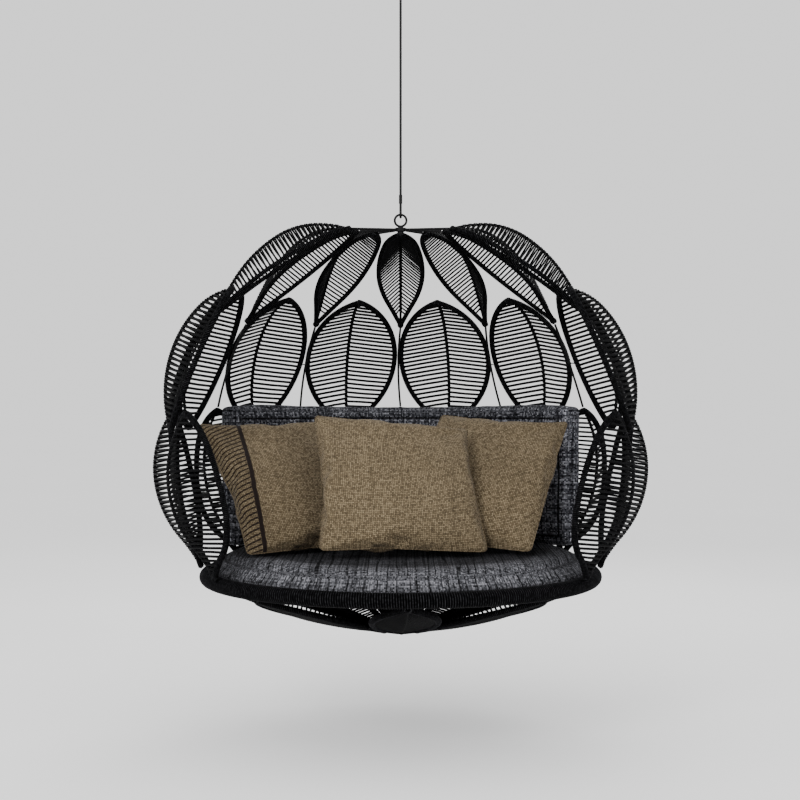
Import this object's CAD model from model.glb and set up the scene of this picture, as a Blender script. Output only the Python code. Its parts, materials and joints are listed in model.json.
import json
import random
from itertools import product
from math import cos, hypot, pi, radians, sin

import bpy
import numpy as np
from mathutils import Matrix, Vector
from mathutils.bvhtree import BVHTree

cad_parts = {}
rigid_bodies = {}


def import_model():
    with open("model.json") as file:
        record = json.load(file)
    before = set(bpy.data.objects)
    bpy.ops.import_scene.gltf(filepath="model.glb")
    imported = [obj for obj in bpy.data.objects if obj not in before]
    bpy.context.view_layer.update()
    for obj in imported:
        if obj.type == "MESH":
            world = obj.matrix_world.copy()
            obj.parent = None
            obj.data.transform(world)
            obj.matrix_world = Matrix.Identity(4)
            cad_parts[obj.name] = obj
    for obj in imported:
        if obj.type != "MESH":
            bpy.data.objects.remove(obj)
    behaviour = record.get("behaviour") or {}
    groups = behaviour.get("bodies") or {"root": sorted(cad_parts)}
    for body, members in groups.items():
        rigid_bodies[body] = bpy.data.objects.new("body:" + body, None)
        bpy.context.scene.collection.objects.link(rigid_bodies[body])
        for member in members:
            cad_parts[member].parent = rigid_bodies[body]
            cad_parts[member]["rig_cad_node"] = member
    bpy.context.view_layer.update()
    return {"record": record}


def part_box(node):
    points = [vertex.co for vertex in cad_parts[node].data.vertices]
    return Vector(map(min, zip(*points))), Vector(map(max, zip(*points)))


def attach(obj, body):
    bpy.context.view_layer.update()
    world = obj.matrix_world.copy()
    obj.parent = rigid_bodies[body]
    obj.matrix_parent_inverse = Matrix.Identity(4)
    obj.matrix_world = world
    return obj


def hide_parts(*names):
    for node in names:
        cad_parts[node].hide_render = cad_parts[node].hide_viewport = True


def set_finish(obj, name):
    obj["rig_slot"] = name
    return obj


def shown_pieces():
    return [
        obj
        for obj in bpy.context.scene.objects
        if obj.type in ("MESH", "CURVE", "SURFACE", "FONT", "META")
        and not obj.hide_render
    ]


# Hanging egg chair: the wound and strung cords, the cushions and the finishes round the fixed frame.
# Metres. Z is up and 0 is the ceiling. An azimuth is in degrees from the back of the cage, towards +X.

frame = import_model()

# The cage has the solids' measures, except that the crown's edge tubes and all ribs are drawn thinner and
# most strung cords thicker, to look as wide as in the photograph
CAGE_CENTRE_Y = -0.1115
CAGE_MIDDLE = np.array([0, CAGE_CENTRE_Y, 0])
EDGE_TUBE_R = 0.0095
CROWN_EDGE_R = 0.0078
RIB_CORE_R = 0.0046
CORD_R = {"crown": 0.0031, "middle": 0.0041, "lower": 0.0037, "bowl": 0.0034}
CORD_SLACK = 0.0012
TIP_KNOT_R = 0.0108
TIP_KNOT_REACH = 0.013
BASE_RING_R = 0.576
BASE_TUBE_R = 0.0225
BASE_RING_Z = -1.959

# Wound cord: the width of one turn on each tube and the groove's depth as a share of the tube's radius.
# The lay is how far a strand of the strung cord runs in one turn.
EDGE_TURN = 0.005
RIB_TURN = 0.0036
BASE_TURN = 0.0068
STRUNG_LAY = 0.0035
GROOVE_SHARE = 0.24
BASE_GROOVE_SHARE = 0.09

# Camera: straight ahead of the cage, level, its height and distance as fitted to the photograph
CAMERA_DISTANCE = 4.359
CAMERA_HEIGHT = -1.415
CAMERA_X = -0.0018
FOCAL_PIXELS = 1453.0
FRAME_PIXELS = 800.0
HORIZON_PIXELS_UP = 8.0
SENSOR = 36.0

FLOOR_Z = -2.42
FLOOR_REACH = 60.0
LIT_POINT = (0, -0.1, -1.55)

rng = random.Random(7)


class Tier:
    """One ring of equal leaves. Points along a leaf are (share of its length from the tail, offset)."""

    def __init__(self, name, azimuths, tail, top, edge_tilt, edge, rib, cord_pitch):
        self.name = name
        self.azimuths = azimuths
        self.cord_pitch = cord_pitch
        self.tail = Vector((0, *tail))
        self.top = Vector((0, *top))
        self.length = (self.top - self.tail).length
        self.along = (self.top - self.tail).normalized()
        across = Vector((1, 0, 0))
        self.outward = self.along.cross(across)
        tilt = radians(edge_tilt)
        self.edge_sides = [across * (side * cos(tilt)) + self.outward * sin(tilt) for side in (1, -1)]
        self.edge = edge
        self.rib = rib
        self.edge_radius = CROWN_EDGE_R if name == "crown" else EDGE_TUBE_R
        self.cord_radius = CORD_R[name]


# Each outline is (widest point, points towards the tail, points towards the top)
TIERS = (
    Tier(
        "crown", (0, 30, -30, 60, -60, 90, -90), (0.565, -1.189), (0.156, -0.925), 17.0,
        ((0.53, 0.0745), ((0.22, 0.043), (0.0, 0.0)), ((0.84, 0.053), (1.0, 0.0))),
        ((0.60, 0.097), ((0.25, 0.059), (0.0, 0.0)), ((0.86, 0.059), (1.0, 0.0))), 0.0128,
    ),
    Tier(
        "middle", (13.9, -15.6, 43.5, -45.2, 74.6, -75.1, 105.6, -105), (0.684, -1.527), (0.509, -1.116),
        11.4,
        ((0.50, 0.155), ((0.0, 0.0),), ((1.0, 0.0),)),
        ((0.54, 0.088), ((0.0, 0.0),), ((0.81, 0.066), (1.0, 0.0))), 0.014,
    ),
    Tier(
        "lower", (0, 30, -30, 60, -60, 90, -90, 120, -120), (0.5993, -1.9350), (0.685, -1.474), 0.0,
        ((0.445, 0.159), ((0.27, 0.136), (0.15, 0.080), (0.0, 0.0)), ((0.76, 0.127), (1.0, 0.0))),
        ((0.55, 0.088), ((0.20, 0.043), (0.0, 0.0)), ((1.0, 0.0),)), 0.0135,
    ),
    Tier(
        "bowl", (0, 45, -45, 90, -90, 135, -135, 178), (0.068, -2.122), (0.5544, -1.9847), 5.0,
        ((0.58, 0.092), ((0.0, 0.0),), ((0.88, 0.051), (1.0, 0.0))),
        ((0.55, 0.018), ((0.0, 0.0),), ((1.0, 0.0),)), 0.014,
    ),
)


def cage_matrix(azimuth):
    """Turns a shape built in the plane X = 0 to its azimuth about the middle of the cage."""
    return Matrix.Translation((0, CAGE_CENTRE_Y, 0)) @ Matrix.Rotation(-radians(azimuth), 4, "Z")


def cage_point(radius, z, azimuth):
    return cage_matrix(azimuth) @ Vector((0, radius, z))


# Meshes


def linked(name, data):
    made = bpy.data.objects.new(name, data)
    bpy.context.scene.collection.objects.link(made)
    return made


def make_object(name, vertices, faces):
    mesh = bpy.data.meshes.new(name)
    mesh.from_pydata([tuple(v) for v in vertices], [], faces, shade_flat=False)
    mesh.validate()
    return linked(name, mesh)


def set_attribute(mesh, name, values):
    """Stores one vector per vertex for the materials to read."""
    attribute = mesh.attributes.new(name, "FLOAT_VECTOR", "POINT")
    attribute.data.foreach_set("vector", np.asarray(values, np.float32).ravel())


def set_all(target, settings):
    for name, value in settings.items():
        setattr(target, name, value)


def shifted(faces, offset):
    return [tuple(index + offset for index in face) for face in faces]


def grid_faces(columns, rows, wrap=False):
    """Faces of a grid of points given row by row, joined round the columns where it wraps."""
    faces = []
    for row in range(rows - 1):
        for column in range(columns if wrap else columns - 1):
            here, after = row * columns + column, row * columns + (column + 1) % columns
            faces.append((here, after, after + columns, here + columns))
    return faces


def end_faces(sides, count):
    """The faces that close the two ends of a tube of count points."""
    return [tuple(range(sides))[::-1], tuple(range(count - sides, count))]


def around(normal, binormal, sides):
    """An angle and its direction for each side of a tube."""
    for side in range(sides):
        angle = 2 * pi * side / sides
        yield angle, normal * cos(angle) + binormal * sin(angle)


class MeshParts:
    """Gathers many small pieces into one mesh with one vector per vertex."""

    def __init__(self):
        self.vertices = []
        self.faces = []
        self.twist = []

    def add(self, vertices, faces, twist):
        self.faces.extend(shifted(faces, len(self.vertices)))
        self.vertices.extend(vertices)
        self.twist.extend(twist)

    def place(self, name, matrices, slot, node):
        """One object of the gathered pieces, repeated at each matrix, in place of the node."""
        flat = np.array([tuple(v) for v in self.vertices])
        vertices, faces = [], []
        for number, matrix in enumerate(matrices):
            turned = flat @ np.array(matrix.to_3x3()).T + np.array(matrix.translation)
            vertices.extend(map(tuple, turned))
            faces.extend(shifted(self.faces, number * len(flat)))
        made = make_object(name, vertices, faces)
        set_attribute(made.data, "twist", np.tile(np.array(self.twist), (len(matrices), 1)))
        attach(made, "cage")
        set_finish(made, slot)
        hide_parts(node)


def square_to(vector, way):
    """The part of the vector that is square to the way, made one long."""
    return (vector - way * vector.dot(way)).normalized()


def arc_chain(start, direction, targets, step):
    """Points of tangent arcs that leave start along direction and pass through the targets."""
    points = [start]
    for target in targets:
        chord = target - start
        unit = chord.normalized()
        half = direction.angle(unit)
        if half < 1e-4:
            count = max(2, round(chord.length / step))
            points += [start + chord * (n / count) for n in range(1, count + 1)]
        else:
            normal = square_to(unit, direction)
            radius = chord.length / 2 / sin(half)
            count = max(2, round(2 * half * radius / step))
            for n in range(1, count + 1):
                turn = 2 * half * n / count
                reach = direction * sin(turn) + normal * (1 - cos(turn))
                points.append(start + reach * radius)
        direction = unit * (2 * direction.dot(unit)) - direction
        start = target
    return points


def leaf_curve(tier, outline, side, step=0.004):
    """Points from the leaf's tail to its top, bowed out along side by the outline's offsets."""
    widest, to_tail, to_top = outline

    def point(pair):
        return tier.tail + tier.along * (pair[0] * tier.length) + side * pair[1]

    down = arc_chain(point(widest), -tier.along, [point(p) for p in to_tail], step)
    up = arc_chain(point(widest), tier.along.copy(), [point(p) for p in to_top], step)
    return down[::-1] + up[1:]


class Path:
    """A smooth line through close points, with a frame that turns as little as it can."""

    def __init__(self, points):
        self.points = np.array([tuple(p) for p in points], float)
        steps = np.linalg.norm(np.diff(self.points, axis=0), axis=1)
        self.marks = np.concatenate(([0.0], np.cumsum(steps)))
        self.length = self.marks[-1]
        tangents = np.gradient(self.points, self.marks, axis=0)
        self.tangents = tangents / np.linalg.norm(tangents, axis=1)[:, None]
        first = np.cross(self.tangents[0], (0.31, 0.87, 0.38))
        normals = [first / np.linalg.norm(first)]
        for tangent in self.tangents[1:]:
            normal = normals[-1] - tangent * normals[-1].dot(tangent)
            normals.append(normal / np.linalg.norm(normal))
        self.normals = np.array(normals)

    def at(self, distances):
        """Points, normals and binormals at distances along the path."""

        def mix(rows):
            return np.stack([np.interp(distances, self.marks, rows[:, axis]) for axis in range(3)], axis=1)

        normals, tangents = mix(self.normals), mix(self.tangents)
        return mix(self.points), normals, np.cross(tangents, normals)


def wound_tube(points, radius, turn, sides, knot=False):
    """Tube wound with cord, as a low and a high spiral line. A knot has round ends.

    Gives vertices, faces and (0 in the groove or 1 on the cord, cosine, sine) per vertex."""
    path = Path(points)
    turns = max(1, int(path.length / turn) - 1)
    count = turns * sides
    turn = path.length / (turns + 1)
    numbers = np.arange(count + 1)
    angles = 2 * pi * numbers / sides
    lines = []
    for phase, share in ((0.0, 1.0 - GROOVE_SHARE), (0.5, 1.0)):
        distances = (numbers / sides + phase) * turn
        middle, normals, binormals = path.at(distances)
        radii = np.full(count + 1, radius * share)
        if knot:
            way = np.clip(2 * distances / path.length - 1, -1, 1)
            radii *= 0.35 + 0.65 * np.sqrt(1 - way * way)
        ring = normals * np.cos(angles)[:, None] + binormals * np.sin(angles)[:, None]
        lines.append(middle + ring * radii[:, None])
    vertices = [tuple(v) for v in np.concatenate(lines)]
    high = count + 1
    faces = []
    for n in range(count):
        faces.append((n, n + 1, high + n + 1, high + n))
        if n + sides < count:
            faces.append((high + n, high + n + 1, n + 1 + sides, n + sides))
    vertices += [tuple(path.points[0]), tuple(path.points[-1])]
    start, end = len(vertices) - 2, len(vertices) - 1
    for n in range(sides):
        last = high + count - sides + n
        faces += [(start, n + 1, n), (last, last + 1, end)]
    twist = [(level, cos(a), sin(a)) for level in (0.0, 1.0) for a in angles]
    twist += [(0.0, 1.0, 0.0)] * 2
    return vertices, faces, twist


def plain_tube(points, radius, sides):
    """Short cord through a few points. Gives vertices, faces and (distance, cosine, sine) per vertex."""
    points = [Vector(p) for p in points]
    vertices, twist = [], []
    travelled = 0.0
    normal = (points[1] - points[0]).orthogonal().normalized()
    for number, point in enumerate(points):
        before, after = points[max(0, number - 1)], points[min(len(points) - 1, number + 1)]
        tangent = (after - before).normalized()
        normal = square_to(normal, tangent)
        travelled += (point - before).length
        for angle, way in around(normal, tangent.cross(normal), sides):
            vertices.append(point + way * radius)
            twist.append((travelled, cos(angle), sin(angle)))
    faces = grid_faces(sides, len(points), wrap=True) + end_faces(sides, len(vertices))
    return vertices, faces, twist


# Cords wound round the tubes and strung across the leaves


def wound_leaf(tier):
    """Edge tubes and rib of one leaf wound with cord, and the knot at each tip."""
    parts = MeshParts()
    for side in tier.edge_sides:
        parts.add(*wound_tube(leaf_curve(tier, tier.edge, side), tier.edge_radius, EDGE_TURN, 12))
    parts.add(*wound_tube(leaf_curve(tier, tier.rib, tier.outward), RIB_CORE_R, RIB_TURN, 8))
    for tip, way in ((tier.tail, -tier.along), (tier.top, tier.along)):
        line = [tip + way * (TIP_KNOT_REACH * share) for share in (-1.2, -0.6, 0.0, 0.35, 0.72)]
        parts.add(*wound_tube(line, TIP_KNOT_R, RIB_TURN, 14, knot=True))
    return parts


def level_crossings(tier, points):
    """Where the curve meets each cord of the leaf, and its direction there."""
    distances = np.array([(p - tier.tail).dot(tier.along) for p in points])
    line = np.array([tuple(p) for p in points])
    count = int(tier.length / tier.cord_pitch)
    found = []
    for number in range(1, count):
        levels = number * tier.length / count + np.array([0.002, -0.002])
        ahead, behind = map(Vector, zip(*[np.interp(levels, distances, line[:, axis]) for axis in range(3)]))
        found.append(((ahead + behind) / 2, (ahead - behind).normalized()))
    return found


def round_the_rib(rib, rib_way, towards_a, outward, cord_radius):
    """Points of one turn and a quarter of cord round the rib, coming from the side of a."""
    ring = RIB_CORE_R - cord_radius * 0.5
    up = square_to(outward, rib_way)
    side_a = square_to(square_to(towards_a, rib_way), up)
    points = []
    for step in range(9):
        turn = radians(40 + 460 * step / 8)
        shift = (step / 8 - 0.5) * 2.4 * cord_radius
        points.append(rib + (side_a * cos(turn) + up * sin(turn)) * ring + rib_way * shift)
    return points


def strung_leaf(tier):
    """Cords strung from one edge tube, round the rib, to the other edge tube."""
    parts = MeshParts()
    rib = level_crossings(tier, leaf_curve(tier, tier.rib, tier.outward))
    edges = [level_crossings(tier, leaf_curve(tier, tier.edge, side)) for side in tier.edge_sides]
    for (edge_a, _), (edge_b, _), (middle, rib_way) in zip(*edges, rib):
        if (edge_a - middle).length < EDGE_TUBE_R + RIB_CORE_R + 2.5 * tier.cord_radius:
            continue
        slack_a, slack_b = [rng.uniform(-CORD_SLACK, CORD_SLACK) for _ in range(2)]
        loop = round_the_rib(middle, rib_way, edge_a - middle, tier.outward, tier.cord_radius)
        line = [
            edge_a.lerp(middle, EDGE_TUBE_R * 0.6 / (edge_a - middle).length),
            edge_a.lerp(loop[0], 0.5) + tier.along * slack_a,
            *loop,
            edge_b.lerp(loop[-1], 0.5) + tier.along * slack_b,
            edge_b.lerp(middle, EDGE_TUBE_R * 0.6 / (edge_b - middle).length),
        ]
        parts.add(*plain_tube(line, tier.cord_radius, 6))
    return parts


def make_leaves():
    for tier in TIERS:
        wound = wound_leaf(tier)
        matrices = [cage_matrix(azimuth) for azimuth in tier.azimuths]
        for number, matrix in enumerate(matrices, 1):
            node = f"{tier.name}_leaf_{number}"
            wound.place(f"{node}_wound", [matrix], "wrapped_tube", node)
        name = f"{tier.name}_leaf_cords"
        strung_leaf(tier).place(f"{name}_strung", matrices, "strung_cord", name)


def make_base_ring():
    """The base ring wound with cord all the way round, as one closed double spiral."""
    sides = 20
    turns = round(2 * pi * BASE_RING_R / BASE_TURN)
    count = turns * sides
    numbers = np.arange(count)
    angles = numbers / sides * 2 * pi
    lines = []
    for phase, radius in ((0.0, BASE_TUBE_R * (1 - BASE_GROOVE_SHARE)), (0.5, BASE_TUBE_R)):
        way = (numbers / sides + phase) / turns * 2 * pi
        reach = BASE_RING_R + radius * np.cos(angles)
        height = BASE_RING_Z + radius * np.sin(angles)
        lines.append(np.stack([reach * np.sin(way), reach * np.cos(way), height], axis=1))
    faces = []
    for n in range(count):
        after, over = (n + 1) % count, (n + sides) % count
        faces.append((n, after, count + after, count + n))
        faces.append((count + n, count + after, (over + 1) % count, over))
    parts = MeshParts()
    twist = [(level, cos(a), sin(a)) for level in (0.0, 1.0) for a in angles]
    parts.add([tuple(v) for v in np.concatenate(lines)], faces, twist)
    parts.place("base_ring_wound", [cage_matrix(0)], "wrapped_tube", "base_ring")


# The hanging cable

CABLE_R = 0.004
CABLE_LAY = 0.052
CABLE_STRANDS = 6
CABLE_GROOVE = 0.20
CABLE_STEP = 0.0015


def make_cable():
    """Wire rope of six strands laid round each other, pulled straight by the chair's weight."""
    low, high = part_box("cable")
    length = high.z - low.z
    rings = round(length / CABLE_STEP)
    sides = CABLE_STRANDS * 6
    vertices, twist = [], []
    for ring in range(rings + 1):
        z = high.z - length * ring / rings
        turn = 2 * pi * (high.z - z) / CABLE_LAY
        for side in range(sides):
            angle = 2 * pi * side / sides
            lobe = abs(cos(CABLE_STRANDS / 2 * angle))
            radius = CABLE_R * (1 - CABLE_GROOVE * (1 - lobe) ** 1.5)
            vertices.append((radius * cos(angle + turn), radius * sin(angle + turn), z))
            twist.append((lobe, cos(angle), sin(angle)))
    faces = grid_faces(sides, rings + 1, wrap=True) + end_faces(sides, len(vertices))
    faces = [face[::-1] for face in faces]
    rope = make_object("hanging_cable_rope", vertices, faces)
    set_attribute(rope.data, "twist", twist)
    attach(rope, "hanging_cable")
    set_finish(rope, "black_cable")
    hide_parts("cable")


# Cushions


def apply_modifiers(made):
    """Turns the object's modifiers into its own mesh."""
    graph = bpy.context.evaluated_depsgraph_get()
    graph.update()
    mesh = bpy.data.meshes.new_from_object(made.evaluated_get(graph), depsgraph=graph)
    made.modifiers.clear()
    old = made.data
    made.data = mesh
    bpy.data.meshes.remove(old)


def modify(made, kind, **settings):
    """Adds a modifier and turns its result into the object's own mesh."""
    set_all(made.modifiers.new(kind, kind), settings)
    apply_modifiers(made)
    made.data.polygons.foreach_set("use_smooth", [True] * len(made.data.polygons))


def dress_soft(made, node, slot):
    """The soft piece rides on the cage in place of its node."""
    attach(made, "cage")
    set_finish(made, slot)
    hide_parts(node)


def vertex_array(mesh):
    flat = np.zeros(len(mesh.vertices) * 3, np.float32)
    mesh.vertices.foreach_get("co", flat)
    return flat.reshape(-1, 3).astype(float)


def set_vertices(mesh, points):
    mesh.vertices.foreach_set("co", np.asarray(points, np.float32).ravel())
    mesh.update()


def inflate(made, pressure, stiffness, bending, cap, frames, shrink=0.0):
    """Blows the cloth up with the cushion's filling. No point moves further than cap."""
    rest = vertex_array(made.data)
    scene = bpy.context.scene
    scene.frame_set(1)
    cloth = made.modifiers.new("cloth", "CLOTH")
    stiff = dict(
        tension_stiffness=stiffness, compression_stiffness=stiffness / 4, shear_stiffness=stiffness / 8,
        bending_stiffness=bending,
    )
    blown = dict(use_pressure=True, uniform_pressure_force=pressure, shrink_min=shrink)
    set_all(cloth.settings, {"quality": 5, "mass": 0.3, **stiff, **blown})
    cloth.settings.effector_weights.gravity = 0
    cloth.collision_settings.use_collision = False
    cloth.point_cache.frame_start = 1
    cloth.point_cache.frame_end = frames
    for number in range(1, frames + 1):
        scene.frame_set(number)
    apply_modifiers(made)
    scene.frame_set(1)
    moved = vertex_array(made.data) - rest
    reach = np.linalg.norm(moved, axis=1)
    scale = np.where(reach > cap, cap / np.maximum(reach, 1e-9), 1.0)
    set_vertices(made.data, rest + moved * scale[:, None])


def rounded_box(name, size, corner, cell):
    """Box mesh with rounded edges, built of square cells, its middle at the origin."""
    half = Vector(size) / 2
    vertices, faces = [], []
    for axis in range(3):
        first, second = (axis + 1) % 3, (axis + 2) % 3
        columns = max(3, round(size[first] / cell)) + 1
        rows = max(3, round(size[second] / cell)) + 1
        for side in (1, -1):
            offset = len(vertices)
            for row, column in product(range(rows), range(columns)):
                point = Vector((0, 0, 0))
                point[axis] = side * half[axis]
                point[first] = side * (2 * column / (columns - 1) - 1) * half[first]
                point[second] = (2 * row / (rows - 1) - 1) * half[second]
                core = Vector([max(-h + corner, min(h - corner, p)) for p, h in zip(point, half)])
                vertices.append(core + (point - core).normalized() * corner)
            faces += shifted(grid_faces(columns, rows), offset)
    made = make_object(name, vertices, faces)
    modify(made, "WELD", merge_threshold=1e-5)
    return made


def piping_round(name, points, radius, slot, light, sides=8):
    """Closed piping through close points. Its cloth's third measure is as light says."""
    line = Path([*points, points[0]])
    count = len(points)
    normals, tangents = [Vector(n) for n in line.normals], [Vector(t) for t in line.tangents]
    vertices = []
    for point, normal, tangent in zip(points, normals, tangents):
        vertices += [Vector(point) + way * radius for _, way in around(normal, tangent.cross(normal), sides)]
    drift = normals[0].angle(normals[-1]) / (2 * pi) * sides
    turned = round(drift) * (1 if tangents[0].cross(normals[0]).dot(normals[-1]) > 0 else -1)
    last = (count - 1) * sides
    faces = grid_faces(sides, count, wrap=True)
    for side in range(sides):
        after = (side + 1) % sides
        faces.append((last + side, last + after, (after + turned) % sides, (side + turned) % sides))
    made = make_object(name, vertices, faces)
    along = np.repeat(line.marks[:count], sides)
    across = np.tile(np.arange(sides) / sides * 2 * pi * radius, count)
    set_attribute(made.data, "cloth", np.stack([along, across, np.full(count * sides, light)], axis=1))
    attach(made, "cage")
    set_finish(made, slot)


def laid_on(made, outside, inside):
    """Where the lines from the outside points towards the inside points first meet the piece."""
    mesh = made.data
    surface = BVHTree.FromPolygons([v.co for v in mesh.vertices], [tuple(p.vertices) for p in mesh.polygons])
    points = []
    for start, end in zip(outside, inside):
        hit = surface.ray_cast(Vector(start), Vector(end) - Vector(start))[0]
        if hit is not None:
            points.append(hit)
    return points


# Seat pad

SEAT_PAD_R = 0.541
SEAT_PAD_BOTTOM = -1.972
SEAT_PAD_TOP = -1.895
SEAT_EDGE_ROUND = 0.022
SEAT_PIPING_R = 0.0026
SEAT_SWELL = 0.014
SEAT_CELL = 0.011
SEAT_COLUMNS = 200
SEAT_FOLDS = (-112, -106, -101, 108, 115)
SEAT_FOLD_DEPTH = 0.0035

# The seat's cloth turns pale outside this radius, and dark again round its sides from this azimuth on
SEAT_PALE_R = 0.395
SEAT_PALE_FADE = 0.06
SEAT_DARK_FROM = 50
SEAT_DARK_FADE = 22


def seat_profile():
    """(radius, height) from the middle of the top, over the rounded edge and under to the middle."""
    low, high, corner = SEAT_PAD_BOTTOM + 0.003, SEAT_PAD_TOP - 0.006, SEAT_EDGE_ROUND
    reach = SEAT_PAD_R - 0.002

    def rounding(middle, start, end):
        turns = [radians(turn) for turn in np.linspace(start, end, 5)]
        return [(reach - corner + corner * cos(t), middle + corner * sin(t)) for t in turns]

    side = [(reach, high - corner - (high - low - 2 * corner) * share) for share in (0.33, 0.67)]
    top = [(reach * share, high) for share in np.linspace(0.02, 0.94, 44)]
    under = [(reach * share, low) for share in np.linspace(0.94, 0.02, 44)]
    return top + rounding(high - corner, 90, 0) + side + rounding(low + corner, 0, -90) + under


def make_seat_pad():
    profile = seat_profile()
    azimuths = [360 * column / SEAT_COLUMNS for column in range(SEAT_COLUMNS)]
    vertices = [cage_point(radius, height, azimuth) for radius, height in profile for azimuth in azimuths]
    faces = grid_faces(SEAT_COLUMNS, len(profile), wrap=True) + end_faces(SEAT_COLUMNS, len(vertices))
    pad = make_object("seat_pad_cloth", vertices, faces)
    modify(pad, "REMESH", mode="VOXEL", voxel_size=SEAT_CELL)
    inflate(pad, pressure=1.0, stiffness=80, bending=0.5, cap=0.012, frames=16, shrink=-0.01)
    modify(pad, "SUBSURF", levels=1)
    shape_seat_pad(pad)
    dress_soft(pad, "seat_pad", "seat_fabric")
    azimuths = [360 * step / 300 for step in range(300)]
    for end, height in (("top", SEAT_PAD_TOP - 0.014), ("bottom", SEAT_PAD_BOTTOM + 0.012)):
        outside = [cage_point(SEAT_PAD_R + 0.05, height, azimuth) for azimuth in azimuths]
        inside = [cage_point(0.0, height, azimuth) for azimuth in azimuths]
        piping_round(f"seat_piping_{end}", laid_on(pad, outside, inside), SEAT_PIPING_R, "seat_fabric", 0.9)


def shape_seat_pad(pad):
    """Presses the pad into its place and gathers the cloth beside its seams."""
    points = vertex_array(pad.data)
    level = points - CAGE_MIDDLE
    radius = np.hypot(level[:, 0], level[:, 1])
    azimuth = np.arctan2(level[:, 0], level[:, 1])
    share = (points[:, 2] - SEAT_PAD_BOTTOM) / (SEAT_PAD_TOP - SEAT_PAD_BOTTOM)
    edge = np.clip((radius - SEAT_PAD_R + 0.035) / 0.03, 0, 1)
    side = edge * np.clip(share * 5, 0, 1) * np.clip((1.1 - share) * 5, 0, 1)
    gather = 0.0011 * np.sin(azimuth * 97 + 2.0 * np.sin(azimuth * 11)) + 0.0008 * np.sin(azimuth * 151 + 1.3)
    folds = np.zeros(len(points))
    for centre in SEAT_FOLDS:
        away = azimuth - radians(centre) - (share - 0.5) * 0.10
        folds += SEAT_FOLD_DEPTH * np.exp(-(((away + pi) % (2 * pi) - pi) / 0.022) ** 2)
    swell = SEAT_SWELL * edge * np.clip((0.68 - share) / 0.2, 0, 1)
    level[:, :2] *= (1 + ((gather - folds) * side + swell) / np.maximum(radius, 0.05))[:, None]
    pulled = np.exp(-(((radius - (SEAT_PAD_R - 0.012)) / 0.012) ** 2)) * (share > 0.5)
    points = level + CAGE_MIDDLE
    points[:, 2] = np.clip(points[:, 2] - 0.0012 * pulled, SEAT_PAD_BOTTOM - 0.0005, SEAT_PAD_TOP + 0.010)
    set_vertices(pad.data, points)
    turned = np.arctan2(level[:, 0], -level[:, 1])
    on_side = radius > SEAT_PAD_R - 0.019
    across = np.where(on_side, turned * SEAT_PAD_R, level[:, 0])
    up = np.where(on_side, points[:, 2], level[:, 1])
    rim = np.clip((radius - SEAT_PALE_R) / SEAT_PALE_FADE, 0, 1)
    end = np.clip((np.abs(turned) - radians(SEAT_DARK_FROM)) / radians(SEAT_DARK_FADE), 0, 1)
    light = rim * rim * (3 - 2 * rim) * (1 - 0.55 * end)
    set_attribute(pad.data, "cloth", np.stack([across, up, light], axis=1))


# Back cushion

BACK_BOTTOM = -1.893
BACK_TOP = -1.457
BACK_CURVE_R = 1.075
BACK_CENTRE_Y = 0.385
BACK_THICKNESS = 0.104
BACK_HALF_ANGLE = 31.1
BACK_CORNER = 0.017
BACK_CELL = 0.012
BACK_BORDER = 0.042
BACK_PIPING_R = 0.003
BACK_SETTLED = 0.009
BACK_PALE_END = 0.538
BACK_BODY_LIGHT = 0.45
BACK_ARC_Y = CAGE_CENTRE_Y + BACK_CENTRE_Y - BACK_CURVE_R
BACK_HALF = radians(BACK_HALF_ANGLE) * BACK_CURVE_R
SEAM_HALF = BACK_HALF - BACK_BORDER
SEAM_LOW = BACK_BOTTOM + BACK_BORDER * 0.6
SEAM_HIGH = BACK_TOP - BACK_BORDER
BACK_FIT_R = (0.598, 0.674)
BACK_FIT_SOFT = 0.012
SEAM_DEPTH, SEAM_WIDTH = 0.0045, 0.008
RIPPLE_DEPTH, RIPPLE_WIDTH = 0.0012, 0.03


def bend_back(points):
    """Bends a straight cushion (along, out, up) round the cage."""
    angle = points[:, 0] / BACK_CURVE_R
    radius = BACK_CURVE_R + points[:, 1]
    return np.stack([radius * np.sin(angle), BACK_ARC_Y + radius * np.cos(angle), points[:, 2]], axis=1)


def press_back(points):
    """Presses the cushion in where the cage behind it is narrower."""
    share = (points[:, 2] - BACK_BOTTOM) / (BACK_TOP - BACK_BOTTOM)
    room = BACK_FIT_R[0] + (BACK_FIT_R[1] - BACK_FIT_R[0]) * share
    level = points[:, :2] - CAGE_MIDDLE[:2]
    radius = np.hypot(level[:, 0], level[:, 1])
    soft = BACK_FIT_SOFT
    over = np.maximum(radius - room + soft, 0)
    kept = radius - np.where(over > 2 * soft, over - soft, over * over / (4 * soft))
    pressed = level * (kept / np.maximum(radius, 0.01))[:, None] + CAGE_MIDDLE[:2]
    return np.column_stack([pressed, points[:, 2]])


def back_border(front, steps_long=110, steps_tall=40):
    """Points of the seam round one face of the straight cushion, inside its edges."""
    across = [-SEAM_HALF + 2 * SEAM_HALF * s / steps_long for s in range(steps_long + 1)]
    up = [SEAM_LOW + (SEAM_HIGH - SEAM_LOW) * s / steps_tall for s in range(steps_tall + 1)]
    loop = [(a, SEAM_HIGH) for a in across[:-1]] + [(SEAM_HALF, z) for z in up[:0:-1]]
    loop += [(a, SEAM_LOW) for a in across[:0:-1]] + [(-SEAM_HALF, z) for z in up[:-1]]
    return np.array([(a, -front * BACK_THICKNESS, z) for a, z in loop])


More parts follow.
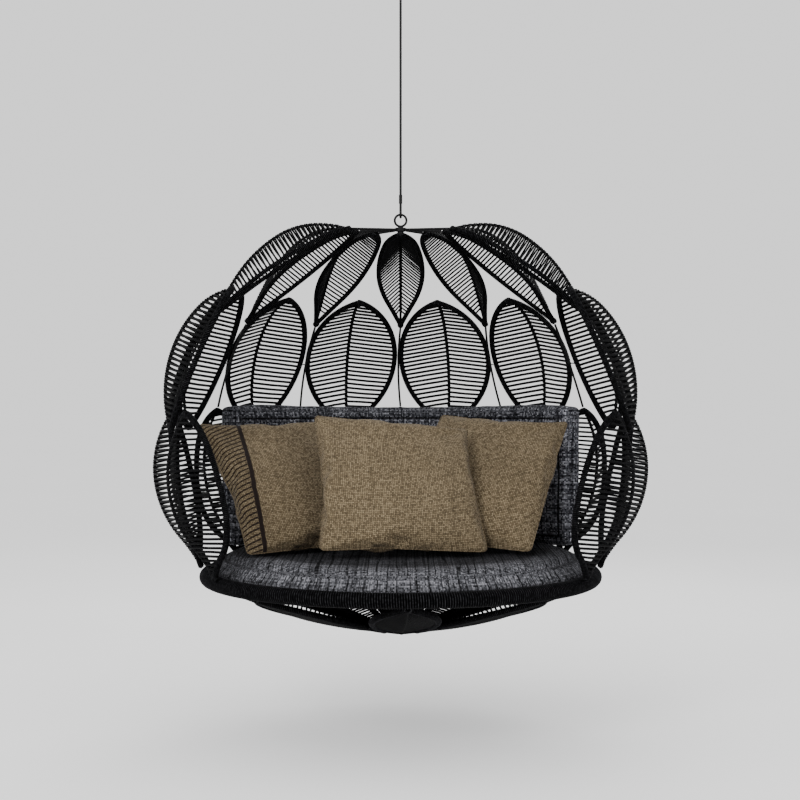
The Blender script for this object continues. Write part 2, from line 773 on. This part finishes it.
def make_back_cushion():
    size = (2 * BACK_HALF - 0.012, BACK_THICKNESS - 0.016, BACK_TOP - BACK_BOTTOM - 0.010)
    cushion = rounded_box("back_cushion_cloth", size, BACK_CORNER, BACK_CELL)
    inflate(cushion, pressure=1.0, stiffness=80, bending=0.5, cap=0.012, frames=16, shrink=-0.01)
    straight = vertex_array(cushion.data)
    straight[:, 2] += (BACK_TOP + BACK_BOTTOM) / 2
    straight[:, 2] -= BACK_SETTLED * np.clip((BACK_BOTTOM + 0.06 - straight[:, 2]) / 0.05, 0, 1)
    set_vertices(cushion.data, straight)
    modify(cushion, "SUBSURF", levels=1)
    straight = seam_back(vertex_array(cushion.data))
    set_vertices(cushion.data, straight)
    normals = np.zeros(straight.size, np.float32)
    cushion.data.vertices.foreach_get("normal", normals)
    normals = np.abs(normals.reshape(-1, 3))
    along, out, up = straight.T
    on_end = (normals[:, 0] > normals[:, 1]) & (normals[:, 0] > normals[:, 2])
    on_top = (normals[:, 2] > normals[:, 1]) & ~on_end
    across = np.where(on_end, out, along)
    rise = np.where(on_top, out, up)
    set_vertices(cushion.data, press_back(bend_back(straight)))
    light = BACK_BODY_LIGHT + (1 - BACK_BODY_LIGHT) * np.clip((along - BACK_PALE_END) / 0.012, 0, 1)
    set_attribute(cushion.data, "cloth", np.stack([across, rise, light], axis=1))
    dress_soft(cushion, "back_cushion", "back_fabric")
    for name, front in (("back_piping_front", 1), ("back_piping_rear", -1)):
        border = back_border(front)
        outside, inside = [press_back(bend_back(border * np.array([1, depth, 1]))) for depth in (1, 0.3)]
        piping_round(name, laid_on(cushion, outside, inside), BACK_PIPING_R, "back_fabric", 0.0)


def seam_back(points):
    """Draws the cloth in along the border seams and ripples it beside them."""
    along, out, up = points.T
    beside = np.abs(np.abs(along) - SEAM_HALF)
    above = np.minimum(np.abs(up - SEAM_HIGH), np.abs(up - SEAM_LOW))
    inside_along = np.abs(along) < SEAM_HALF + 0.006
    inside_up = (up > SEAM_LOW - 0.006) & (up < SEAM_HIGH + 0.006)
    distance = np.minimum(np.where(inside_up, beside, 1.0), np.where(inside_along, above, 1.0))
    groove = SEAM_DEPTH * np.exp(-((distance / SEAM_WIDTH) ** 2))
    wave = np.sin(along * 210 + 3 * np.sin(along * 17))
    ripple = RIPPLE_DEPTH * wave * np.exp(-((distance / RIPPLE_WIDTH) ** 2))
    face = np.clip((np.abs(out) - 0.030) / 0.010, 0, 1)
    out = out - np.sign(out) * (groove + ripple) * face
    return np.stack([along, out, up], axis=1)


# Pillows

PILLOW_CUT = 0.50
PILLOW_CELLS = 46
PILLOW_HALF_T = 0.060
PILLOW_SIDE = 0.486
PILLOW_SEAM_R = 0.0017
PILLOW_EAR_R = 0.020
PILLOW_FOLD = 0.13
PILLOW_WEAVE = 0.0052
REST_GAP = 0.006
REST_SOFT = 0.02

# Print on the left pillow: where its slanting line is, its width, its slant and the stripes' spacing
PRINT_EDGE = -0.152
PRINT_LINE = 0.014
PRINT_SLANT = -0.14
PRINT_STRIPE_PITCH = 0.0165

# Each pillow: its middle from the middle of the cage, how far it leans back, turns about Z and rolls,
# and how far its upper left and upper right ears have slumped, across and up the pillow
PILLOWS = {
    "left_pillow": ((-0.325, 0.046, -1.693), 39.5, 34.5, 0.5, (0.0, -0.004), (0.0, 0.006)),
    "right_pillow": ((0.244, 0.076, -1.681), 39.5, -27.5, -2.5, (0.024, 0.0), (-0.022, -0.006)),
    "centre_pillow": ((-0.009, -0.080, -1.680), 39.5, 10.5, -2.0, (0.008, 0.002), (-0.008, -0.034)),
}


def pillow_start(name, printed):
    """Two square sheets sewn along their edges, a little apart in the middle.

    The cloth's third measure is 1 on a printed face."""
    cells = PILLOW_CELLS
    index, vertices, flat = {}, [], []
    for face, row, column in product((1, -1), range(cells + 1), range(cells + 1)):
        if face < 0 and (row in (0, cells) or column in (0, cells)):
            index[face, row, column] = index[1, row, column]
            continue
        x, y = column / cells * 2 - 1, row / cells * 2 - 1
        bulge = (1 - x * x) * (1 - y * y)
        index[face, row, column] = len(vertices)
        place = (x * PILLOW_CUT / 2, y * PILLOW_CUT / 2)
        vertices.append((*place, face * 0.03 * bulge ** 0.6))
        flat.append((*place, 1.0 if printed and face > 0 else 0.0))
    faces = []
    for face, row, column in product((1, -1), range(cells), range(cells)):
        corner = [index[face, row + a, column + b] for a, b in ((0, 0), (0, 1), (1, 1), (1, 0))]
        faces.append(tuple(corner if face > 0 else corner[::-1]))
    made = make_object(name, vertices, faces)
    set_attribute(made.data, "cloth", flat)
    edge = list(range(cells + 1))
    loop = [index[1, 0, c] for c in edge] + [index[1, r, cells] for r in edge[1:]]
    loop += [index[1, cells, c] for c in edge[-2::-1]] + [index[1, r, 0] for r in edge[-2:0:-1]]
    return made, loop


def straightened(points, loop):
    """Lets the filling push the seams out again, most of all the one that the pillow stands on."""
    half = PILLOW_SIDE / 2
    rim = points[loop]
    for axis, side, share in ((0, 1, 0.35), (0, -1, 0.35), (1, -1, 0.75)):
        other = 1 - axis
        near = rim[rim[:, axis] * side > np.abs(rim[:, other]) - 1e-6]
        near = near[np.argsort(near[:, other])]
        edge = np.interp(points[:, other], near[:, other], near[:, axis] * side)
        wanted = edge + (half - edge) * share
        depth = np.clip(points[:, axis] * side / half, 0, 1)
        points[:, axis] *= 1 + (wanted / edge - 1) * depth
    return points


def slumped(points, left_ear, right_ear):
    """Rounds the four ears and lets the upper two slump."""
    core_reach = PILLOW_SIDE / 2 - PILLOW_EAR_R
    core = np.clip(points[:, :2], -core_reach, core_reach)
    away = points[:, :2] - core
    length = np.maximum(np.linalg.norm(away, axis=1), 1e-9)
    points[:, :2] = core + away * np.minimum(1, PILLOW_EAR_R / length)[:, None]
    for side, slump in ((-1, left_ear), (1, right_ear)):
        ear = np.array([side * PILLOW_SIDE / 2, PILLOW_SIDE / 2])
        distance = np.linalg.norm((points[:, :2] - ear) * np.array([1.0, 1.4]), axis=1)
        angle = np.arctan2(*(points[:, :2] - ear).T)
        fold = PILLOW_FOLD * hypot(*slump) * np.exp(-(((distance - 0.09) / 0.05) ** 2))
        points[:, :2] += np.exp(-((distance / 0.17) ** 2))[:, None] * np.array(slump)
        points[:, 2] += fold * np.sin(9 * angle)
    return points


def make_pillow(node, middle, lean, turn, roll, left_ear, right_ear):
    made, loop = pillow_start(f"{node}_cloth", node == "left_pillow")
    inflate(made, pressure=1.1, stiffness=80, bending=0.1, cap=0.16, frames=32)
    points = vertex_array(made.data)
    points[:, :2] *= PILLOW_SIDE / 2 / np.abs(points[:, :2]).max()
    points = slumped(straightened(points, loop), left_ear, right_ear)
    points[:, 2] *= PILLOW_HALF_T / np.abs(points[:, 2]).max()
    place = (
        Matrix.Translation(Vector(middle) + Vector(CAGE_MIDDLE))
        @ Matrix.Rotation(radians(turn), 4, "Z")
        @ Matrix.Rotation(radians(90 - lean), 4, "X")
        @ Matrix.Rotation(radians(roll), 4, "Z")
    )
    points = points @ np.array(place.to_3x3()).T + np.array(place.translation)
    points = rest_pillow(points)
    set_vertices(made.data, points)
    crease = made.data.attributes.new("crease_edge", "FLOAT", "EDGE")
    on_seam = set(loop)
    creases = [0.9 if set(edge.vertices) <= on_seam else 0.0 for edge in made.data.edges]
    crease.data.foreach_set("value", creases)
    modify(made, "SUBSURF", levels=1)
    dress_soft(made, node, "pillow_fabric")
    piping_round(f"{node}_seam", points[loop], PILLOW_SEAM_R, "pillow_fabric", 0.0, sides=6)


def rest_pillow(points):
    """Keeps the pillow on the pad and in front of the back cushion, flattened where it touches."""
    floor = SEAT_PAD_TOP + REST_GAP
    depth = np.maximum(0, floor + REST_SOFT - points[:, 2])
    points[:, 2] = np.where(depth > 0, floor + REST_SOFT * np.exp(-depth / REST_SOFT), points[:, 2])
    arc = np.array([0, BACK_ARC_Y])
    reach = np.hypot(*(points[:, :2] - arc).T)
    limit = BACK_CURVE_R - BACK_THICKNESS / 2 - REST_GAP
    over = np.where(points[:, 2] < BACK_TOP, np.maximum(0, reach - limit), 0)
    points[:, :2] = arc + (points[:, :2] - arc) * (1 - over / reach)[:, None]
    return points


# Materials


class Value:
    """An output of a node. Plain arithmetic on it makes the nodes that work it out."""

    def __init__(self, mat, socket):
        self.mat = mat
        self.socket = socket

    def __add__(self, other):
        return self.mat.math("ADD", self, other)

    def __sub__(self, other):
        return self.mat.math("SUBTRACT", self, other)

    def __mul__(self, other):
        return self.mat.math("MULTIPLY", self, other)

    def levels(self, low, high, to_low=0.0, to_high=1.0):
        """Runs from to_low to to_high while this runs from low to high, and stays there outside."""
        inputs = dict(enumerate((self, low, high, to_low, to_high)))
        return self.mat.node("ShaderNodeMapRange", inputs)


class Shader:
    """Builds one material's nodes with short calls."""

    def __init__(self, name):
        self.material = bpy.data.materials.new(name)
        self.material.use_nodes = True
        self.tree = self.material.node_tree
        self.surface = self.tree.nodes["Principled BSDF"]

    def feed(self, socket, value):
        if isinstance(value, Value):
            self.tree.links.new(value.socket, socket)
        else:
            socket.default_value = value

    def node(self, kind, inputs, output=0, **settings):
        """One output of a new node. Its inputs are given by name or number."""
        made = self.tree.nodes.new(kind)
        set_all(made, settings)
        for key, value in inputs.items():
            self.feed(made.inputs[key], value)
        return Value(self, made.outputs[output])

    def math(self, operation, *values):
        return self.node("ShaderNodeMath", dict(enumerate(values)), operation=operation)

    def vector(self, operation, *values):
        return self.node("ShaderNodeVectorMath", dict(enumerate(values)), operation=operation)

    def attribute(self, name):
        return self.node("ShaderNodeAttribute", {}, "Vector", attribute_name=name)

    def place(self):
        return self.node("ShaderNodeTexCoord", {}, "Object")

    def parts(self, vector):
        """The three measures of a vector."""
        made = self.tree.nodes.new("ShaderNodeSeparateXYZ")
        self.feed(made.inputs[0], vector)
        return [Value(self, socket) for socket in made.outputs]

    def combine(self, x, y, z=0.0):
        return self.node("ShaderNodeCombineXYZ", {0: x, 1: y, 2: z})

    def noise(self, vector, scale, detail=2.0, roughness=0.5, output=0):
        inputs = {"Vector": vector, "Scale": scale, "Detail": detail, "Roughness": roughness}
        return self.node("ShaderNodeTexNoise", inputs, output)

    def speckle(self, x, y):
        """A random value for each pair of whole numbers."""
        inputs = {"Vector": self.combine(x, y)}
        return self.node("ShaderNodeTexWhiteNoise", inputs, "Value", noise_dimensions="3D")

    def ramp(self, factor, *stops):
        made = self.tree.nodes.new("ShaderNodeValToRGB")
        self.feed(made.inputs[0], factor)
        elements = made.color_ramp.elements
        while len(elements) < len(stops):
            elements.new(0.5)
        for element, (place, tone) in zip(elements, stops):
            element.position = place
            element.color = (*tone, 1.0)
        return Value(self, made.outputs["Color"])

    def mix(self, factor, first, second, blend="MIX"):
        first, second = [(*tone, 1.0) if isinstance(tone, tuple) else tone for tone in (first, second)]
        inputs = {0: factor, 6: first, 7: second}
        return self.node("ShaderNodeMix", inputs, 2, data_type="RGBA", blend_type=blend)

    def shaded(self, colour, share):
        return self.mix(1.0, colour, self.combine(share, share, share), "MULTIPLY")

    def bump(self, height, strength, distance, **normal):
        inputs = {"Strength": strength, "Distance": distance, "Height": height, **normal}
        return self.node("ShaderNodeBump", inputs)

    def finish(self, colour, roughness, **others):
        """Feeds the surface's inputs, with _ for the spaces in their names."""
        inputs = {"Base_Color": colour, "Roughness": roughness, **others}
        for name, value in inputs.items():
            self.feed(self.surface.inputs[name.replace("_", " ")], value)
        return self.material


def wound_cord_material(name, dark, light, fibre):
    """Braided synthetic cord laid turn beside turn: dark in the grooves, worn lighter on top."""
    mat = Shader(name)
    place = mat.place()
    level = mat.parts(mat.attribute("twist"))[0]
    blotch = mat.noise(place, 9.0, 3.0)
    strand = mat.noise(place, 900.0, 2.0, 0.6)
    scuff = mat.noise(place, 120.0, 3.0)
    base = mat.mix(blotch.levels(0.35, 0.65), dark, light)
    wear = scuff.levels(0.48, 0.70) * level.levels(0.55, 1.0)
    worn = mat.mix(wear * 0.55, base, fibre)
    crest = level.levels(0.76, 1.0, 0.0, 0.9) * scuff.levels(0.35, 0.6, 0.3, 1.0)
    grooved = mat.shaded(mat.mix(crest, worn, fibre), level.levels(0.1, 0.9))
    colour = mat.mix(strand.levels(0.55, 0.75) * 0.10, grooved, fibre)
    normal = mat.bump(strand, 0.35, 0.0006)
    return mat.finish(colour, scuff.levels(0.3, 0.7, 0.38, 0.62), Normal=normal, Specular_IOR_Level=0.006)


def strung_cord_material():
    """Thin twisted cord, nearly black."""
    mat = Shader("strung_cord_black")
    place = mat.place()
    travel, cosine, sine = mat.parts(mat.attribute("twist"))
    phase = travel * (2 * pi / STRUNG_LAY)
    lay = cosine * mat.math("COSINE", phase) + sine * mat.math("SINE", phase)
    strands = lay.levels(-1.0, 1.0)
    fuzz = mat.noise(place, 1400.0, 2.0, 0.6)
    blotch = mat.noise(place, 14.0)
    base = mat.mix(blotch.levels(0.35, 0.65), (0.0015, 0.0015, 0.0017), (0.0035, 0.0035, 0.0038))
    colour = mat.mix(strands * 0.45, base, (0.008, 0.008, 0.009))
    normal = mat.bump(strands + fuzz * 0.35, 0.45, 0.0008)
    return mat.finish(colour, fuzz.levels(0.3, 0.7, 0.45, 0.65), Normal=normal, Specular_IOR_Level=0.04)


def metal_material(name, dark, light, roughness, metallic, scratch):
    """Powder-coated or bare steel with fine grain and a few scuffs."""
    mat = Shader(name)
    place = mat.place()
    grain = mat.noise(place, 2200.0, 2.0, 0.6)
    cloud = mat.noise(place, 35.0, 4.0)
    lines = mat.noise(mat.vector("MULTIPLY", place, (40.0, 40.0, 900.0)), 1.0, 3.0, 0.7)
    base = mat.mix(cloud.levels(0.3, 0.7), dark, light)
    marks = lines.levels(0.60, 0.78)
    colour = mat.mix(marks * scratch, base, (0.30, 0.30, 0.31))
    normal = mat.bump(grain - marks * 0.4, 0.25, 0.0004)
    rough = cloud.levels(0.3, 0.7, roughness - 0.08, roughness + 0.10)
    return mat.finish(colour, rough, Normal=normal, Metallic=metallic, Specular_IOR_Level=0.10)


def rope_material():
    """Black plastic-coated wire rope, dark between its strands."""
    mat = Shader("rope_black")
    place = mat.place()
    lobe = mat.parts(mat.attribute("twist"))[0]
    grime = mat.noise(place, 60.0, 4.0)
    base = mat.mix(grime.levels(0.35, 0.7), (0.0025, 0.0025, 0.0028), (0.006, 0.006, 0.0065))
    colour = mat.shaded(base, lobe.levels(0.0, 0.6, 0.35, 1.0))
    normal = mat.bump(mat.noise(place, 2500.0), 0.15, 0.0003)
    return mat.finish(colour, grime.levels(0.3, 0.7, 0.34, 0.5), Normal=normal, Specular_IOR_Level=0.15)


def woven(mat, pitch, wander):
    """Plain weave from the cloth's own measures, with yarns that wander a little.

    Gives the height, a random value per crossing and per yarn, and the measures together and apart."""
    cloth = mat.attribute("cloth")
    drift = mat.vector("SUBTRACT", mat.noise(mat.place(), 38.0, output="Color"), (0.5, 0.5, 0.5))
    moved = mat.vector("ADD", cloth, mat.vector("MULTIPLY", drift, (wander, wander, 0.0)))
    across, along, _ = mat.parts(mat.vector("MULTIPLY", moved, (1 / pitch, 1 / pitch, 1.0)))
    sine_a = mat.math("SINE", across * pi)
    sine_b = mat.math("SINE", along * pi)
    over = (sine_a * sine_b).levels(-0.15, 0.15)
    warp = over * mat.math("ABSOLUTE", sine_a)
    weft = mat.math("SUBTRACT", 1.0, over) * mat.math("ABSOLUTE", sine_b)
    column, row = mat.math("FLOOR", across), mat.math("FLOOR", along)
    yarns = mat.speckle(column, 0.5) + mat.speckle(0.5, row)
    return warp + weft, mat.speckle(column, row), yarns * 0.5, cloth, *mat.parts(cloth)


def thin_lines(mat, first, second, seed, spacing, width, dark):
    """1 with thin darker lines across the first measure, unevenly spaced and broken in places."""
    run = first * (1 / spacing)
    jitter = mat.noise(mat.combine(run, second * 2.0, seed), 0.8, 1.0)
    place = mat.math("FRACT", run + jitter * 1.6)
    away = mat.math("ABSOLUTE", place - 0.5)
    broken = mat.noise(mat.combine(run, second * 60.0, seed + 5.0), 1.0, 1.0)
    deep = broken.levels(0.40, 0.70, dark, 0.5 + dark / 2)
    half = width / spacing / 2
    return away.levels(half * 0.5, half * 1.5, deep, 1.0)


def stripe_print(mat, across, up):
    """How much of the dark print is on the cloth: plain cross stripes beside one slanting line."""
    edge = across + up * PRINT_SLANT + mat.noise(mat.place(), 160.0) * 0.004
    inner = PRINT_EDGE - PRINT_LINE
    line = edge.levels(inner, inner + 0.002) * edge.levels(PRINT_EDGE, PRINT_EDGE + 0.002, 1.0, 0.0)
    bowed = up + mat.math("ABSOLUTE", edge) * 0.35
    wave = mat.math("SINE", bowed * (2 * pi / PRINT_STRIPE_PITCH))
    stripes = wave.levels(0.50, 0.62) * edge.levels(inner, inner + 0.002, 1.0, 0.0)
    return mat.math("MAXIMUM", line, stripes)


def pillow_material():
    """Coarse burlap: uneven tan yarns with dark flecks, printed where the cloth says so."""
    mat = Shader("pillow_burlap")
    height, crossing, yarns, cloth, across, up, printed = woven(mat, PILLOW_WEAVE, 0.0006)
    fleck = mat.noise(cloth, 620.0, 2.0, 0.6)
    cloud = mat.noise(mat.place(), 7.0, 4.0, 0.55)
    tone = mat.ramp(
        crossing * 0.17 + fleck * 0.72,
        (0.26, (0.016, 0.011, 0.006)),
        (0.38, (0.095, 0.069, 0.039)),
        (0.50, (0.190, 0.146, 0.087)),
        (0.70, (0.320, 0.254, 0.163)),
    )
    uneven = yarns.levels(0.2, 0.8, 0.93, 1.06) * cloud.levels(0.3, 0.7, 0.90, 1.06)
    plain = mat.shaded(tone, uneven * height.levels(0.15, 0.70, 0.02, 1.16))
    colour = mat.mix(printed * stripe_print(mat, across, up), plain, (0.010, 0.006, 0.005))
    normal = mat.bump(height + fleck * 0.6, 0.55, 0.0012, Normal=mat.bump(cloud, 0.15, 0.01))
    others = dict(Normal=normal, Specular_IOR_Level=0.1, Sheen_Weight=0.05)
    return mat.finish(colour, fleck.levels(0.3, 0.7, 0.82, 0.96), **others)


def tweed_material(name, tones, pitch, lines, dark_share):
    """Melange upholstery cloth crossed by thin dark lines, each set given as (spacing, width, dark).

    The cloth's third measure is 1 where it has its full tones and 0 where only dark_share of them."""
    mat = Shader(name)
    height, crossing, yarns, cloth, across, up, light = woven(mat, pitch, 0.0015)
    fleck = mat.noise(cloth, 420.0, 2.0, 0.7)
    cloud = mat.noise(mat.place(), 6.0, 3.0)
    tone = mat.ramp(crossing * 0.35 + fleck * 0.35 + yarns * 0.30, *zip((0.28, 0.5, 0.72), tones))
    shade = height.levels(0.0, 0.7, 0.6, 1.05) * cloud.levels(0.3, 0.7, 0.85, 1.1)
    shade *= light.levels(0.0, 1.0, dark_share, 1.0)
    for number, line in enumerate(lines):
        first, second = (across, up) if number % 2 == 0 else (up, across)
        shade *= thin_lines(mat, first, second, 3.7 * number, *line)
    normal = mat.bump(height + shade * 0.8, 0.6, 0.0014)
    colour = mat.shaded(tone, shade)
    return mat.finish(colour, fleck.levels(0.3, 0.7, 0.78, 0.95), Normal=normal, Specular_IOR_Level=0.03)


def make_materials():
    black = ((0.0025, 0.0025, 0.0028), (0.0050, 0.0050, 0.0055))
    cord_black = ((0.0003, 0.0003, 0.00035), (0.0010, 0.0010, 0.0012))
    zinc = ((0.20, 0.20, 0.205), (0.32, 0.32, 0.325))
    return {
        "wrapped_tube": wound_cord_material("wound_cord_charcoal", *cord_black, (0.044, 0.044, 0.048)),
        "strung_cord": strung_cord_material(),
        "black_steel": metal_material("powder_black", *black, 0.42, 0.0, 0.10),
        "black_fittings": metal_material("powder_black_fittings", *black, 0.38, 0.0, 0.16),
        "black_aluminium": metal_material("powder_black_support", *black, 0.48, 0.0, 0.08),
        "steel_fittings": metal_material("zinc_steel", *zinc, 0.32, 1.0, 0.25),
        "black_cable": rope_material(),
        "seat_fabric": tweed_material(
            "seat_boucle",
            ((0.016, 0.016, 0.018), (0.086, 0.087, 0.096), (0.240, 0.240, 0.263)),
            0.0040,
            ((0.027, 0.0034, 0.02), (0.0150, 0.0018, 0.60), (0.0085, 0.0020, 0.40)),
            0.30,
        ),
        "back_fabric": tweed_material(
            "back_melange",
            ((0.006, 0.006, 0.009), (0.081, 0.083, 0.097), (0.440, 0.444, 0.490)),
            0.0044,
            ((0.017, 0.0022, 0.35), (0.013, 0.0024, 0.35)),
            0.08,
        ),
        "pillow_fabric": pillow_material(),
    }


def give_materials(materials):
    """Every piece gets the material of its own slot, or of the slot that the record gives its node."""
    slots = {row["node"]: row["material_slot"] for row in frame["record"]["subparts"]}
    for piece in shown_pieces():
        slot = piece.get("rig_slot") or slots[piece["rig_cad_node"]]
        piece.data.materials.clear()
        piece.data.materials.append(materials[slot])


# Camera, light and floor


def make_camera():
    data = bpy.data.cameras.new("camera")
    data.sensor_width = SENSOR
    data.lens = SENSOR * FOCAL_PIXELS / FRAME_PIXELS
    data.shift_y = -HORIZON_PIXELS_UP / FRAME_PIXELS
    camera = linked("camera", data)
    camera.location = (CAMERA_X, CAGE_CENTRE_Y - CAMERA_DISTANCE, CAMERA_HEIGHT)
    camera.rotation_euler = (radians(90), 0, 0)
    bpy.context.scene.camera = camera


def make_light(name, place, size, power):
    data = bpy.data.lights.new(name, "AREA")
    data.shape = "DISK"
    data.size = size
    data.energy = power
    light = linked(name, data)
    light.location = place
    way = Vector(LIT_POINT) - Vector(place)
    light.rotation_euler = way.to_track_quat("-Z", "Y").to_euler()


def make_stage():
    corners = [(x * FLOOR_REACH, y * FLOOR_REACH, FLOOR_Z) for x, y in ((-1, -1), (1, -1), (1, 1), (-1, 1))]
    floor = make_object("floor", corners, [(0, 1, 2, 3)])
    mat = Shader("pale_floor")
    tone = mat.noise(mat.place(), 0.8).levels(0.3, 0.7, 0.90, 0.93)
    glow = {"Emission_Color": (1.0, 1.0, 1.0, 1.0), "Emission_Strength": 0.10}
    floor.data.materials.append(mat.finish(mat.combine(tone, tone, tone), 0.9, **glow))
    world = bpy.context.scene.world or bpy.data.worlds.new("world")
    bpy.context.scene.world = world
    world.use_nodes = True
    sky = world.node_tree.nodes["Background"]
    sky.inputs["Color"].default_value = (1.0, 1.0, 1.0, 1.0)
    sky.inputs["Strength"].default_value = 1.25
    make_light("key", (-2.2, -4.4, 0.6), 2.0, 150.0)
    make_light("fill", (3.2, -3.6, -0.6), 2.6, 45.0)
    make_light("rim", (0.6, 3.0, 0.8), 2.0, 60.0)


make_camera()
make_cable()
make_base_ring()
make_leaves()
make_seat_pad()
make_back_cushion()
for node, posture in PILLOWS.items():
    make_pillow(node, *posture)
give_materials(make_materials())
make_stage()
